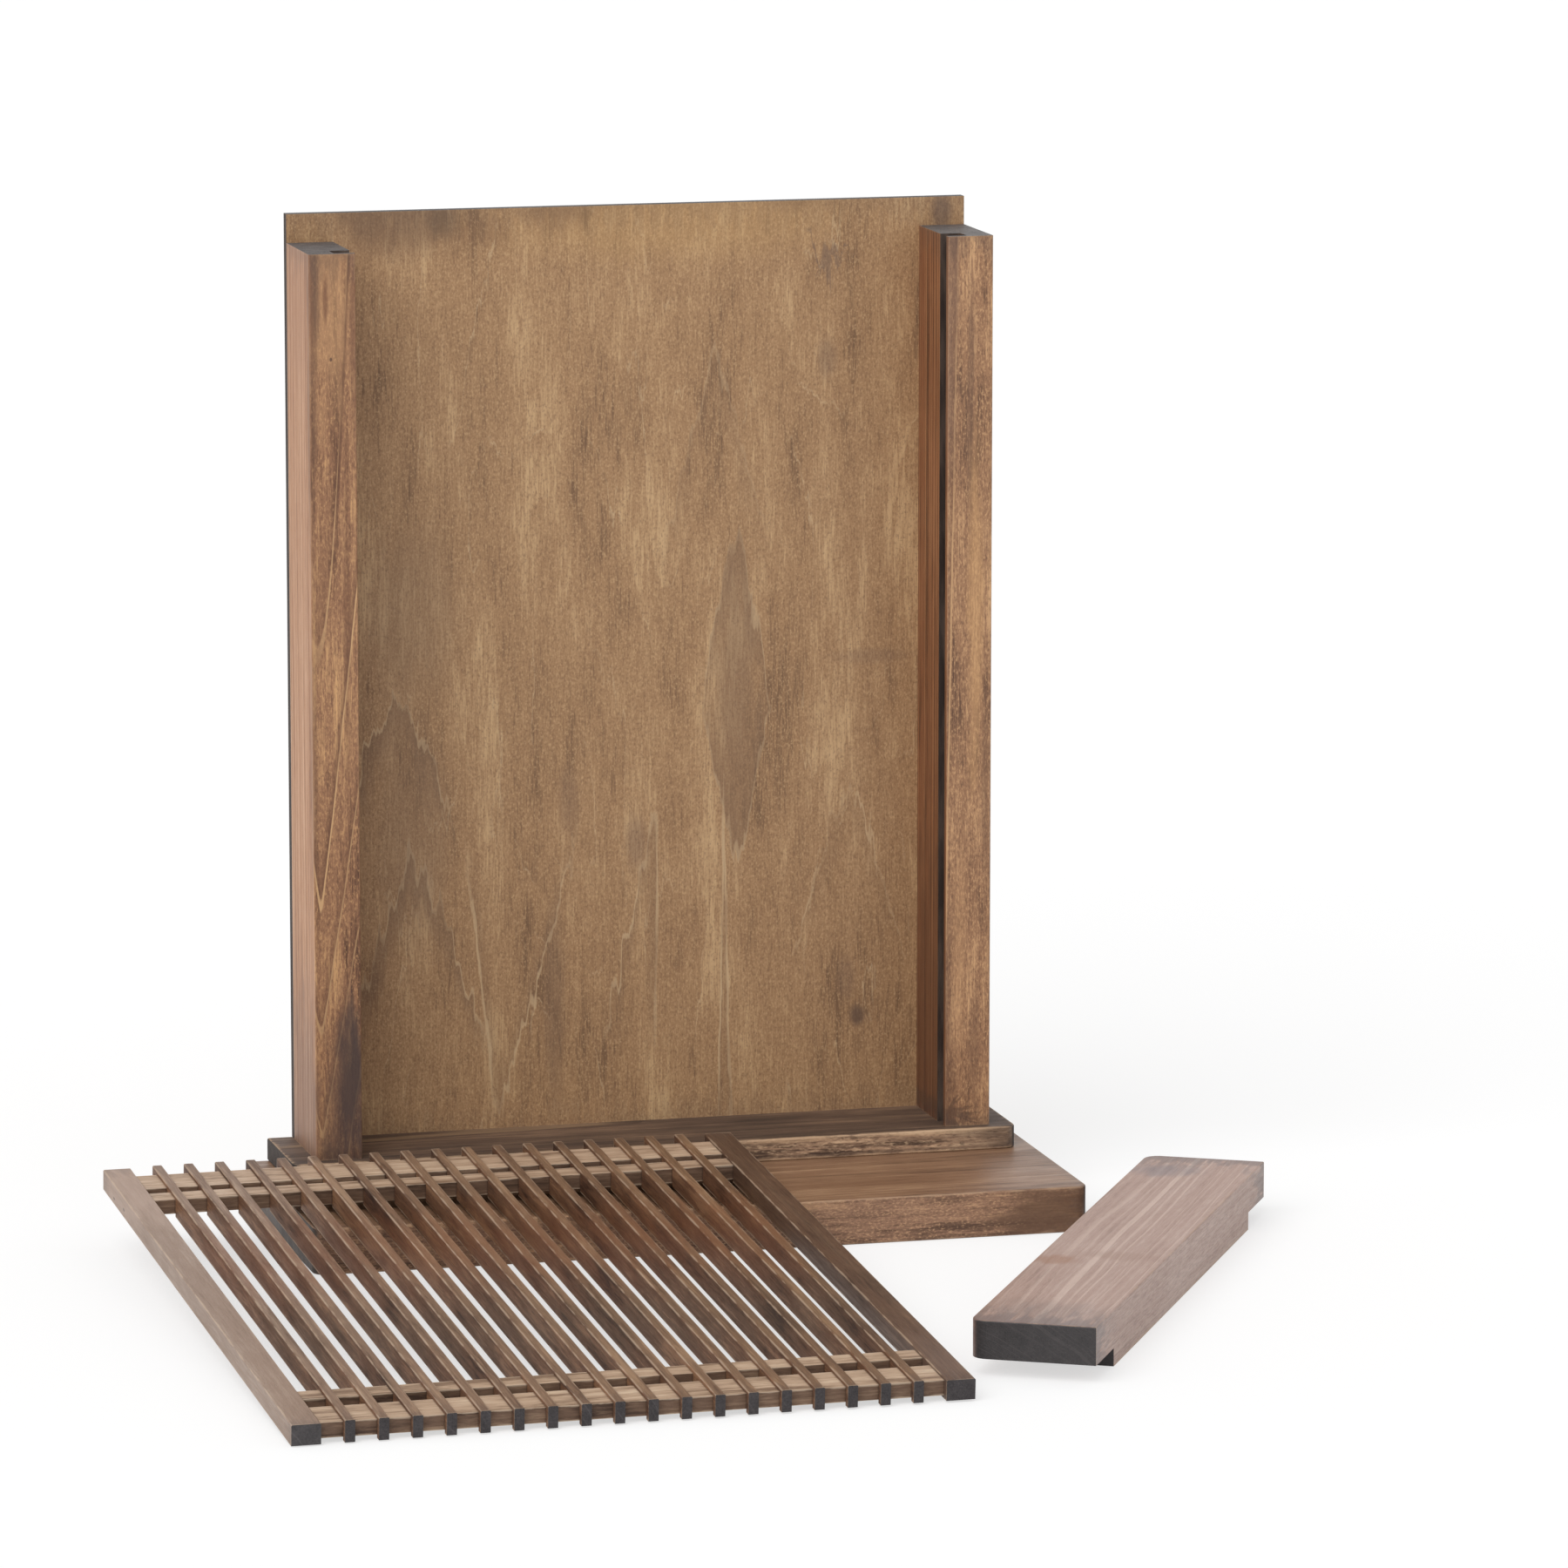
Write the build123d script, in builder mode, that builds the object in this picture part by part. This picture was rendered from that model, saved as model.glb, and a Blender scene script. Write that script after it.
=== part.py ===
from build123d import *
from math import asin, cos, degrees, radians, sin
import os

# A small wooden household shrine for paper talismans, drawn as it stands taken apart:
# the body upright, the lattice door lifted out and laid in front, the top cap beside it.
# Millimetres. X runs along the front, Y runs from front to back, Z runs up.
# The origin is on the underside of the lower board, below the panel's front face.

# Space for the talismans
clear_width = 190.0
clear_height = 280.0
clear_depth = 25.0

# Posts, with a groove for the door in each inner face
post_width = 14.8
groove_width = 7.0
groove_depth = 6.5
groove_lip = 2.0
post_arris = 0.5

# Back panel
panel_thickness = 4.0
panel_rise = 9.0

# Base boards
upper_thickness = 7.3
upper_side_overhang = 8.0
upper_front_overhang = 4.0
upper_corner_radius = 4.0
lower_thickness = 14.5
lower_side_margin = 6.0
lower_front_step = 60.0
lower_corner_radius = 4.0
board_arris = 0.7

# Top cap
cap_thickness = 11.5
cap_tenon_height = 5.5
cap_corner_radius = 5.0
cap_arris = 0.5
tenon_end_clearance = 0.4

# Lattice door
door_length = 265.0
door_thickness = 6.2
door_side_clearance = 0.35
stile_width = 8.7
stile_arris = 0.4
slat_count = 18
slat_width = 3.0
slat_proud = 0.4
slat_arris = 0.25
outer_rail_width = 14.5
inner_rail_width = 7.8
near_rail_gap = 7.6
far_rail_gap = 5.1
rail_drop = 0.6
rail_rise = 1.0
lap_height = 3.0
near_horn = 2.4
far_horn = 7.0
stile_cheek = 2.2

# Where the loose pieces lie
door_back_gap = 1.0
door_middle = -72.8
door_turn = 1.15
seat_gap = 0.3
cap_side_step = 39.5
cap_back_step = 10.5
cap_turn = 60.3

# Body layout, from the driving sizes
post_depth = clear_depth + groove_width + groove_lip
post_height = clear_height + cap_tenon_height
post_outer = clear_width / 2 + post_width
upper_top = lower_thickness + upper_thickness
upper_front = -(post_depth + upper_front_overhang)
lower_front = upper_front - lower_front_step
upper_length = 2 * (post_outer + upper_side_overhang)
lower_length = upper_length + 2 * lower_side_margin


def board(length, front, bottom, thickness, corner_radius):
    """A board from the panel's back to its front edge, with rounded front corners."""
    with BuildPart() as part:
        with BuildSketch(Plane.XY.offset(bottom)) as outline:
            with Locations((0, panel_thickness)):
                Rectangle(length, panel_thickness - front, align=(Align.CENTER, Align.MAX))
            fillet(outline.vertices().group_by(Axis.Y)[0], radius=corner_radius)
        extrude(amount=thickness)
        fillet(part.edges().group_by(Axis.Z)[-1], radius=board_arris)
        front_bottom = part.edges().group_by(Axis.Z)[0].sort_by(Axis.Y)[0]
        chamfer(front_bottom, length=board_arris / 2)
    return part.part


def post(side):
    """A post with a full-height groove in its inner face; side is -1 left, 1 right."""
    inner = side * clear_width / 2
    outer = side * post_outer
    with BuildPart() as part:
        with BuildSketch(Plane.XY.offset(upper_top)) as section:
            with Locations(((inner + outer) / 2, -post_depth / 2)):
                Rectangle(post_width, post_depth)
            fillet(section.vertices().group_by(Axis.Y)[0], radius=post_arris)
            groove_middle = inner + side * groove_depth / 2
            with Locations((groove_middle, -clear_depth - groove_width / 2)):
                Rectangle(groove_depth, groove_width, mode=Mode.SUBTRACT)
        extrude(amount=post_height)
    return part.part


# Base boards
lower_board = board(lower_length, lower_front, 0, lower_thickness, lower_corner_radius)
upper_board = board(
    upper_length, upper_front, lower_thickness, upper_thickness, upper_corner_radius
)

# Back panel, standing on the upper board behind the posts and flush with their outer faces
with BuildPart() as back_panel:
    with BuildSketch(Plane.XY.offset(upper_top)):
        Rectangle(2 * post_outer, panel_thickness, align=(Align.CENTER, Align.MIN))
    extrude(amount=post_height + panel_rise)

left_post = post(-1)
right_post = post(1)

# Lattice door, lying face up. It leans on the lower board's front edge, its near left corner
# touches the ground, and its far right corner stands just in front of the upper board.
# Door axes: X across from the left, Y along from the near end, Z up.
door_width = clear_width + 2 * (groove_depth - door_side_clearance)
turn = radians(door_turn)
door_diagonal_reach = door_width * sin(turn) + door_length * cos(turn)
door_near_reach = door_diagonal_reach - (lower_front_step - door_back_gap)
door_slope = asin(lower_thickness / door_near_reach)
up_slope = Vector(0, cos(door_slope), sin(door_slope))
door_normal = Vector(0, -sin(door_slope), cos(door_slope))
door_across = Vector(1, 0, 0) * cos(turn) + up_slope * sin(turn)
door_corner = (
    Vector(door_middle - door_width / 2, lower_front, lower_thickness)
    - up_slope * door_near_reach
    + door_normal * seat_gap
)
door_plane = Plane(origin=door_corner, x_dir=door_across, z_dir=door_normal)
across, along = door_plane.x_dir, door_plane.y_dir

# Top cap, lying on its tenon beside the door's near right corner.
# Its back edge runs along the plane's X, and its front edge is at +Y.
door_right_corner = door_corner + door_across * door_width
cap_plane = Plane(
    origin=(door_right_corner.X + cap_side_step, door_right_corner.Y + cap_back_step, 0),
    x_dir=(cos(radians(cap_turn)), sin(radians(cap_turn)), 0),
    z_dir=(0, 0, 1),
)
cap_depth = post_depth + upper_front_overhang
tenon_length = clear_width - 2 * tenon_end_clearance
with BuildPart() as top_cap:
    with BuildSketch(cap_plane.offset(cap_tenon_height)) as cap_outline:
        Rectangle(upper_length, cap_depth, align=(Align.MIN, Align.MIN))
        front_corners = [
            v for v in cap_outline.vertices() if cap_plane.to_local_coords(v).Y > cap_depth / 2
        ]
        fillet(front_corners, radius=cap_corner_radius)
    extrude(amount=cap_thickness)
    fillet(top_cap.edges().group_by(Axis.Z)[-1], radius=cap_arris)
    with BuildSketch(cap_plane):
        with Locations((upper_length / 2, 0)):
            Rectangle(tenon_length, clear_depth, align=(Align.CENTER, Align.MIN))
    extrude(amount=cap_tenon_height)

# Rails and slats, halved where they cross: the rails stand in a little from the slats' backs
# and fronts
slat_height = door_thickness + slat_proud
rail_top = door_thickness - rail_drop
near_outer_start = near_horn
near_inner_start = near_outer_start + outer_rail_width + near_rail_gap
far_outer_start = door_length - far_horn - outer_rail_width
far_inner_start = far_outer_start - far_rail_gap - inner_rail_width
rails = {
    "door_near_outer_rail": (near_outer_start, outer_rail_width),
    "door_near_inner_rail": (near_inner_start, inner_rail_width),
    "door_far_inner_rail": (far_inner_start, inner_rail_width),
    "door_far_outer_rail": (far_outer_start, outer_rail_width),
}
slat_space = door_width - 2 * stile_width
slat_gap = (slat_space - slat_count * slat_width) / (slat_count + 1)
slat_pitch = slat_width + slat_gap
slat_lefts = [stile_width + slat_gap + i * slat_pitch for i in range(slat_count)]


def upper_arrises(part):
    """The two long edges of a door piece that lie highest in the door."""
    long_edges = part.edges().filter_by(lambda e: abs(e.tangent_at(0).dot(along)) > 0.999)
    return long_edges.sort_by(Axis(door_corner, door_normal))[-2:]


def stile(left, mortise_left):
    """A stile with a mortise for each rail end, stopped at its outer cheek."""
    with BuildPart() as part:
        with BuildSketch(door_plane):
            with Locations((left, 0)):
                Rectangle(stile_width, door_length, align=(Align.MIN, Align.MIN))
        extrude(amount=door_thickness)
        fillet(upper_arrises(part), radius=stile_arris)
        with BuildSketch(door_plane.offset(rail_rise)):
            for start, width in rails.values():
                with Locations((mortise_left, start)):
                    Rectangle(stile_width - stile_cheek, width, align=(Align.MIN, Align.MIN))
        extrude(amount=lap_height - rail_rise, mode=Mode.SUBTRACT)
    return part.part


def rail(start, width):
    """A rail halved on its top for every slat, with thin tenons that go into the stiles."""
    back_face = Plane(
        origin=door_plane.from_local_coords((0, start + width, 0)), x_dir=across, z_dir=-along
    )
    tenoned_length = door_width - 2 * stile_cheek
    with BuildPart() as part:
        with BuildSketch(back_face):
            with Locations((stile_cheek, rail_rise)):
                Rectangle(tenoned_length, lap_height - rail_rise, align=(Align.MIN, Align.MIN))
            with Locations((stile_width, rail_rise)):
                Rectangle(slat_space, rail_top - rail_rise, align=(Align.MIN, Align.MIN))
            for left in slat_lefts:
                with Locations((left, lap_height)):
                    Rectangle(
                        slat_width, rail_top, align=(Align.MIN, Align.MIN), mode=Mode.SUBTRACT
                    )
        extrude(amount=width)
    return part.part


def slat(left):
    """A slat on edge, halved on its underside where it crosses each rail."""
    side_face = Plane(
        origin=door_plane.from_local_coords((left, 0, 0)), x_dir=along, z_dir=across
    )
    with BuildPart() as part:
        with BuildSketch(side_face):
            Rectangle(door_length, slat_height, align=(Align.MIN, Align.MIN))
            for start, width in rails.values():
                with Locations((start, 0)):
                    Rectangle(
                        width, lap_height, align=(Align.MIN, Align.MIN), mode=Mode.SUBTRACT
                    )
        extrude(amount=slat_width)
        chamfer(upper_arrises(part), length=slat_arris)
    return part.part


pieces = {
    "lower_board": lower_board,
    "upper_board": upper_board,
    "back_panel": back_panel.part,
    "left_post": left_post,
    "right_post": right_post,
    "top_cap": top_cap.part,
    "door_left_stile": stile(0, stile_cheek),
    "door_right_stile": stile(door_width - stile_width, door_width - stile_width),
}
for name, (start, width) in rails.items():
    pieces[name] = rail(start, width)
for number, left in enumerate(slat_lefts, start=1):
    pieces[f"door_slat_{number:02d}"] = slat(left)

os.makedirs("parts", exist_ok=True)
for name, piece in pieces.items():
    piece.label = name
    export_step(piece, f"parts/{name}.step")

print("door slope", round(degrees(door_slope), 3), "degrees")
for local in ((0, 0, 0), (door_width, 0, 0), (0, door_length, 0), (door_width, door_length, 0)):
    corner = door_plane.from_local_coords(local)
    print("door underside corner", [round(v, 2) for v in (corner.X, corner.Y, corner.Z)])
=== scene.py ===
import math

import bpy
import numpy as np
from mathutils import Matrix, Vector

# A household shrine for paper talismans in brown stained wood, taken apart: the body stands
# upright, the lattice door lies in front of it and the top cap lies beside the door.
# Metres in the scene, millimetres inside the wood materials.

millimetre = 0.001

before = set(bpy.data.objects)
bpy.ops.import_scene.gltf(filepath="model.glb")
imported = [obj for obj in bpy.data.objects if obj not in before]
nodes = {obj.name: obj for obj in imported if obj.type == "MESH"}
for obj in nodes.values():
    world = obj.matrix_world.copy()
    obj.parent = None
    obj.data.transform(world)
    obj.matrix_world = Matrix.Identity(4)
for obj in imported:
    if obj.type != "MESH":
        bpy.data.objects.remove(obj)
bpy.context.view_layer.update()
print("frame:", len(nodes), "nodes")


# Small tools for building node trees

def plug(tree, value, socket):
    # Link a socket to another one, or write a plain value on it
    if isinstance(value, bpy.types.NodeSocket):
        tree.links.new(value, socket)
    elif value is not None:
        socket.default_value = value


def addNode(tree, kind, plugs=None, **settings):
    # The settings come first, because some of them change the node's sockets
    node = tree.nodes.new(kind)
    for name, setting in settings.items():
        setattr(node, name, setting)
    for key, value in (plugs or {}).items():
        plug(tree, value, node.inputs[key])
    return node


def maths(tree, operation, a, b=None, c=None):
    return addNode(tree, "ShaderNodeMath", {0: a, 1: b, 2: c}, operation=operation).outputs[0]


def vectorMaths(tree, operation, a, b=None):
    node = addNode(tree, "ShaderNodeVectorMath", {0: a, 1: b}, operation=operation)
    return node.outputs["Value" if operation in ("DOT_PRODUCT", "LENGTH") else "Vector"]


def joined(tree, x=0.0, y=0.0, z=0.0):
    return addNode(tree, "ShaderNodeCombineXYZ", {0: x, 1: y, 2: z}).outputs[0]


def parts(tree, vector):
    return addNode(tree, "ShaderNodeSeparateXYZ", {0: vector}).outputs


def ramp(tree, value, low, high, start=0.0, end=1.0):
    # The value eased from start at low to end at high
    plugs = {"Value": value, "From Min": low, "From Max": high, "To Min": start, "To Max": end}
    return addNode(tree, "ShaderNodeMapRange", plugs, interpolation_type="SMOOTHSTEP").outputs[0]


def fade(tree, value, low, high):
    return ramp(tree, value, low, high, 1.0, 0.0)


def mixColour(tree, amount, a, b):
    return addNode(tree, "ShaderNodeMix", {0: amount, 6: a, 7: b}, data_type="RGBA").outputs[2]


def mixValue(tree, amount, a, b):
    return addNode(tree, "ShaderNodeMix", {0: amount, 2: a, 3: b}).outputs[0]


def noise(tree, vector, stretch, detail=2.0, roughness=0.5, output=0):
    # 3-D noise. Its stretch is its cycles per millimetre along the grain and across it both ways
    plugs = {
        "Vector": vectorMaths(tree, "MULTIPLY", vector, stretch), "Scale": 1.0, "Detail": detail,
        "Roughness": roughness}
    return addNode(tree, "ShaderNodeTexNoise", plugs).outputs[output]


def swing(tree, vector, stretch):
    # A vector of noise round zero
    return vectorMaths(tree, "SUBTRACT", noise(tree, vector, stretch, output="Color"), (0.5, 0.5, 0.5))


def seeded(tree, vector, seed, stride):
    # The vector moved to another part of the noise for each seed
    move = vectorMaths(tree, "MULTIPLY", joined(tree, seed, seed, seed), stride)
    return vectorMaths(tree, "ADD", vector, move)


def newGroup(name, takes, gives):
    # An empty node group, the sockets that it takes and those that it gives
    tree = bpy.data.node_groups.new(name, "ShaderNodeTree")
    for label, default in takes.items():
        kind = "NodeSocketFloat"
        if isinstance(default, tuple):
            kind = "NodeSocketVector" if len(default) == 3 else "NodeSocketColor"
        socket = tree.interface.new_socket(name=label, in_out="INPUT", socket_type=kind)
        socket.default_value = default
    for label, kind in gives.items():
        tree.interface.new_socket(name=label, in_out="OUTPUT", socket_type=kind)
    return tree, tree.nodes.new("NodeGroupInput").outputs, tree.nodes.new("NodeGroupOutput").inputs


def useGroup(tree, group, plugs):
    node = tree.nodes.new("ShaderNodeGroup")
    node.node_tree = group
    for key, value in plugs.items():
        plug(tree, value, node.inputs[key])
    return node.outputs


def stain(red, green, blue):
    # A colour written as 0 to 255 screen values, turned linear for the shader by the sRGB rule
    screen = np.array([red, green, blue]) / 255
    linear = np.where(screen > 0.04045, ((screen + 0.055) / 1.055) ** 2.4, screen / 12.92)
    return (*linear.tolist(), 1.0)


# Shared effects, each with its own values above it. A noise is written as (stretch, detail,
# roughness), and a span is the two levels between which a value is eased

growthRingValues = {
    "stride": (91.7, 37.3, 53.9), "bend": (0.007, 0.05, 0.05), "unevenRate": 0.55, "unevenYears": 2.0,
    "riseShare": 0.6, "fallSpan": (0.97, 1.0), "faintest": 0.15,
}


def makeGrowthRings():
    # Pale latewood lines: the saw tooth of (distance from the pith + taper times length) / spacing,
    # with the pith line bent by slow noise and the years made uneven by noise over their count
    own = growthRingValues
    takes = {"Vector": (0.0, 0.0, 0.0), "Spacing": 3.0, "Taper": 0.02, "Warp": 3.0, "Line Width": 0.2,
             "Seed": 0.0}
    gives = {"Line": "NodeSocketFloat", "Shade": "NodeSocketFloat"}
    tree, given, out = newGroup("growthRings", takes, gives)
    moved = seeded(tree, given["Vector"], given["Seed"], own["stride"])
    reach = joined(tree, 0.0, given["Warp"], given["Warp"])
    bend = vectorMaths(tree, "MULTIPLY", swing(tree, moved, own["bend"]), reach)
    bent = vectorMaths(tree, "ADD", given["Vector"], bend)
    radius = vectorMaths(tree, "LENGTH", vectorMaths(tree, "MULTIPLY", bent, (0.0, 1.0, 1.0)))
    grown = maths(tree, "MULTIPLY_ADD", parts(tree, given["Vector"])[0], given["Taper"], radius)
    even = maths(tree, "DIVIDE", grown, given["Spacing"])
    count = maths(tree, "MULTIPLY_ADD", even, own["unevenRate"], given["Seed"])
    uneven = addNode(tree, "ShaderNodeTexNoise", {"W": count, "Scale": 1.0, "Detail": 1.0},
                     noise_dimensions="1D").outputs[0]
    field = maths(tree, "MULTIPLY_ADD", uneven, own["unevenYears"], even)
    year = maths(tree, "FLOOR", field)
    phase = maths(tree, "SUBTRACT", field, year)
    luck = addNode(tree, "ShaderNodeTexWhiteNoise", {"W": maths(tree, "ADD", year, given["Seed"])},
                   noise_dimensions="1D").outputs["Value"]
    lineStart = maths(tree, "SUBTRACT", 1.0, given["Line Width"])
    lineFull = maths(tree, "MULTIPLY_ADD", given["Line Width"], own["riseShare"], lineStart)
    line = ramp(tree, phase, lineStart, lineFull)
    line = maths(tree, "MULTIPLY", line, fade(tree, phase, *own["fallSpan"]))
    strength = maths(tree, "MULTIPLY_ADD", maths(tree, "MULTIPLY", luck, luck), 1.0 - own["faintest"],
                     own["faintest"])
    plug(tree, maths(tree, "MULTIPLY", line, strength), out["Line"])
    plug(tree, maths(tree, "SUBTRACT", 1.0, phase), out["Shade"])
    return tree


veneerValues = {
    "stride": (23.1, 41.7, 0.0), "slow": ((0.0055, 0.021, 0.0), 1.5, 0.45),
    "jagged": ((0.05, 0.45, 0.0), 2.0), "jag": 0.05, "broken": ((0.03, 0.09, 0.0), 2.0),
    "brokenSpan": (0.46, 0.62),
}


def makeVeneerFigure():
    # Rotary-cut veneer: contour lines of a slow height field, with a pale line at each step and the
    # tone falling away from it
    own = veneerValues
    takes = {"Vector": (0.0, 0.0, 0.0), "Steps": 9.0, "Line Width": 0.07, "Seed": 0.0}
    gives = {"Line": "NodeSocketFloat", "Shade": "NodeSocketFloat"}
    tree, given, out = newGroup("veneerFigure", takes, gives)
    moved = seeded(tree, given["Vector"], given["Seed"], own["stride"])
    slow = noise(tree, moved, *own["slow"])
    jagged = maths(tree, "SUBTRACT", noise(tree, moved, *own["jagged"]), 0.5)
    height = maths(tree, "MULTIPLY_ADD", jagged, own["jag"], slow)
    phase = maths(tree, "FRACT", maths(tree, "MULTIPLY", height, given["Steps"]))
    line = fade(tree, phase, 0.0, given["Line Width"])
    broken = ramp(tree, noise(tree, moved, *own["broken"]), *own["brokenSpan"])
    plug(tree, maths(tree, "MULTIPLY", line, broken), out["Line"])
    plug(tree, phase, out["Shade"])
    return tree


fibreValues = {
    "stride": (31.7, 17.3, 11.9), "streak": ((0.012, 0.6, 0.6), 3.0, 0.6),
    "stroke": ((0.13, 1.8, 1.8), 2.0, 0.6), "mottle": ((0.045, 0.26, 0.26), 3.0),
    "cloud": ((0.014, 0.05, 0.05), 2.0), "fleck": ((0.85, 1.9, 1.9), 2.0, 0.6), "fleckSpan": (0.5, 0.72),
    "poreSpan": (0.28, 0.48),
}
fibreOutputs = ("Streak", "Stroke", "Mottle", "Cloud", "Fleck", "Pore")


def makeWoodFibre():
    # Long streaks, short strokes, pale flecks and dark pores, all drawn out along the grain, and
    # mottling and broad clouds
    own = fibreValues
    takes = {"Vector": (0.0, 0.0, 0.0), "Seed": 0.0, "Fleck Length": 1.0}
    tree, given, out = newGroup("woodFibre", takes, {k: "NodeSocketFloat" for k in fibreOutputs})
    moved = seeded(tree, given["Vector"], given["Seed"], own["stride"])
    for label in ("streak", "stroke", "mottle", "cloud"):
        plug(tree, noise(tree, moved, *own[label]), out[label.title()])
    drawnOut = joined(tree, maths(tree, "DIVIDE", 1.0, given["Fleck Length"]), 1.0, 1.0)
    fleck = noise(tree, vectorMaths(tree, "MULTIPLY", moved, drawnOut), *own["fleck"])
    plug(tree, ramp(tree, fleck, *own["fleckSpan"]), out["Fleck"])
    plug(tree, fade(tree, fleck, *own["poreSpan"]), out["Pore"])
    return tree


raggedValues = {
    "stride": (3.1, 9.7, 6.3), "jagged": (0.05, 0.35, 0.35), "push": ((0.06, 0.3, 0.3), 3.0),
    "broken": ((0.03, 0.1, 0.1), 1.0), "brokenSpan": (0.36, 0.56), "faintest": 0.35,
}


def makeRaggedPlace():
    # The place pushed about by noise, so that outlines drawn on it are torn. Push is noise round zero
    # for the outlines of patches, and Broken thins a line out here and there
    own = raggedValues
    takes = {"Vector": (0.0, 0.0, 0.0), "Jag": (6.0, 0.8, 0.0), "Seed": 0.0}
    gives = {"Vector": "NodeSocketVector", "Push": "NodeSocketFloat", "Broken": "NodeSocketFloat"}
    tree, given, out = newGroup("raggedPlace", takes, gives)
    moved = seeded(tree, given["Vector"], given["Seed"], own["stride"])
    torn = vectorMaths(tree, "MULTIPLY", swing(tree, moved, own["jagged"]), given["Jag"])
    plug(tree, vectorMaths(tree, "ADD", given["Vector"], torn), out["Vector"])
    plug(tree, maths(tree, "SUBTRACT", noise(tree, moved, *own["push"]), 0.5), out["Push"])
    broken = ramp(tree, noise(tree, moved, *own["broken"]), *own["brokenSpan"], own["faintest"], 1.0)
    plug(tree, broken, out["Broken"])
    return tree


flameValues = {
    "fadeSpan": (0.6, 1.0), "coreShare": 0.4, "insideSpan": (-1.0, -0.1), "outsideSpan": (0.0, 0.3),
}


def makeFlameLine():
    # One flame of flat-sawn grain, a hyperbola round its tip: field = sqrt(across^2 + bend^2) - bend
    # - slope x along. Line is 1 where the field is 0, and Shade is the darker wood just inside it
    own = flameValues
    takes = {"Vector": (0.0, 0.0, 0.0), "Tip": (0.0, 0.0, 0.0), "Slope": 0.1, "Lean": 0.0, "Bend": 0.4,
             "Width": 0.3, "Depth": 2.2, "Reach": 400.0}
    gives = {"Line": "NodeSocketFloat", "Shade": "NodeSocketFloat"}
    tree, given, out = newGroup("flameLine", takes, gives)
    along, across, _ = parts(tree, vectorMaths(tree, "SUBTRACT", given["Vector"], given["Tip"]))
    across = maths(tree, "SUBTRACT", across, maths(tree, "MULTIPLY", given["Lean"], along))
    squared = maths(tree, "MULTIPLY", across, across)
    curve = maths(tree, "SQRT", maths(tree, "MULTIPLY_ADD", given["Bend"], given["Bend"], squared))
    rise = maths(tree, "MULTIPLY_ADD", given["Slope"], along, given["Bend"])
    field = maths(tree, "SUBTRACT", curve, rise)
    far = maths(tree, "DIVIDE", maths(tree, "ABSOLUTE", along), given["Reach"])
    near = fade(tree, far, *own["fadeSpan"])
    core = maths(tree, "MULTIPLY", given["Width"], own["coreShare"])
    line = fade(tree, maths(tree, "ABSOLUTE", field), core, given["Width"])
    plug(tree, maths(tree, "MULTIPLY", line, near), out["Line"])
    inside = ramp(tree, maths(tree, "DIVIDE", field, given["Depth"]), *own["insideSpan"])
    shade = maths(tree, "MULTIPLY", inside, fade(tree, field, *own["outsideSpan"]))
    plug(tree, maths(tree, "MULTIPLY", shade, near), out["Shade"])
    return tree


blotchSpan = (0.3, 1.0)


def makeBlotch():
    # A soft patch: 1 at its centre, 0 past its radii, with its outline pushed about
    takes = {"Vector": (0.0, 0.0, 0.0), "Centre": (0.0, 0.0, 0.0), "Radii": (10.0, 5.0, 5.0), "Push": 0.0}
    tree, given, out = newGroup("blotch", takes, {"Mask": "NodeSocketFloat"})
    away = vectorMaths(tree, "SUBTRACT", given["Vector"], given["Centre"])
    reach = vectorMaths(tree, "LENGTH", vectorMaths(tree, "DIVIDE", away, given["Radii"]))
    plug(tree, fade(tree, maths(tree, "ADD", reach, given["Push"]), *blotchSpan), out["Mask"])
    return tree


knotValues = {
    "stride": (5.3, 2.9, 7.1), "rays": ((2.6, 2.6, 1.0), 2.0, 0.7), "raySpan": (0.35, 0.65),
    "rayReach": (0.45, 1.6), "fadeSpan": (0.45, 1.0),
}


def makeKnot():
    # A knot with uneven rays: its reach changes with noise over the direction from its centre
    own = knotValues
    takes = {"Vector": (0.0, 0.0, 0.0), "Centre": (0.0, 0.0, 0.0), "Radii": (3.0, 3.0, 8.0), "Seed": 0.0}
    tree, given, out = newGroup("knot", takes, {"Mask": "NodeSocketFloat"})
    away = vectorMaths(tree, "SUBTRACT", given["Vector"], given["Centre"])
    away = vectorMaths(tree, "DIVIDE", away, given["Radii"])
    flat = vectorMaths(tree, "MULTIPLY", away, (1.0, 1.0, 0.0))
    ways = seeded(tree, vectorMaths(tree, "NORMALIZE", flat), given["Seed"], own["stride"])
    rays = ramp(tree, noise(tree, ways, *own["rays"]), *own["raySpan"], *own["rayReach"])
    reach = maths(tree, "MULTIPLY", vectorMaths(tree, "LENGTH", flat), rays)
    plug(tree, fade(tree, reach, *own["fadeSpan"]), out["Mask"])
    return tree


wearAndHighlightValues = {
    "stride": (13.1, 7.9, 5.3), "patchy": ((0.11, 0.4, 0.4), 3.0), "patchySpan": (0.3, 0.7),
    "patchyReach": (0.15, 1.7),
}


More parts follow.
